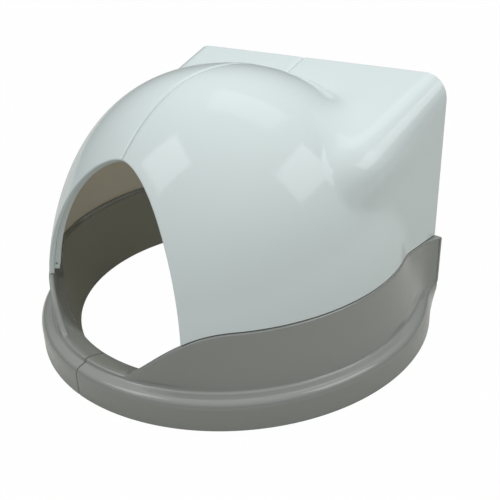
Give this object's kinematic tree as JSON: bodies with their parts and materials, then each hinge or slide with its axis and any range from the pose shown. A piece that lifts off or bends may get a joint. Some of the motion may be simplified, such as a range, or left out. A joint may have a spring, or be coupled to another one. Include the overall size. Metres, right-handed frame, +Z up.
{
  "type": "cat litter box with hood",
  "caption": "Glossy white domed hood with a flat-topped box behind it, lifting off a grey ring-shaped side wall with a low entry sill.",
  "frame": {"origin": "bottom centre of the overall box, on the surface that the ring stands on", "axes": "+Z up, -Y out of the entry, +X across the widest extent, to the right of someone who looks into the entry"},
  "size_m": [0.49, 0.391, 0.304],
  "materials": {
    "dome_plastic": "glossy injection-moulded white plastic with soft window-like reflections",
    "wall_plastic": "satin-gloss injection-moulded mid-grey plastic",
    "rivet_white": "natural nylon push rivet",
    "rivet_grey": "grey nylon push rivet"
  },
  "bodies": {
    "sidewalls": {"sidewall_left": "wall_plastic", "sidewall_right": "wall_plastic", "sill_rivet_1": "rivet_grey", "sill_rivet_2": "rivet_grey"},
    "dome": {"dome_left": "dome_plastic", "dome_right": "dome_plastic", "dome_rivet_1": "rivet_white", "dome_rivet_2": "rivet_white", "dome_rivet_3": "rivet_white", "dome_rivet_4": "rivet_white"}
  },
  "joints": [
    {"name": "dome_lift", "type": "slide", "parent": "sidewalls", "child": "dome", "axis": [0, 0, 1], "range_m": [0, 0.15]}
  ]
}
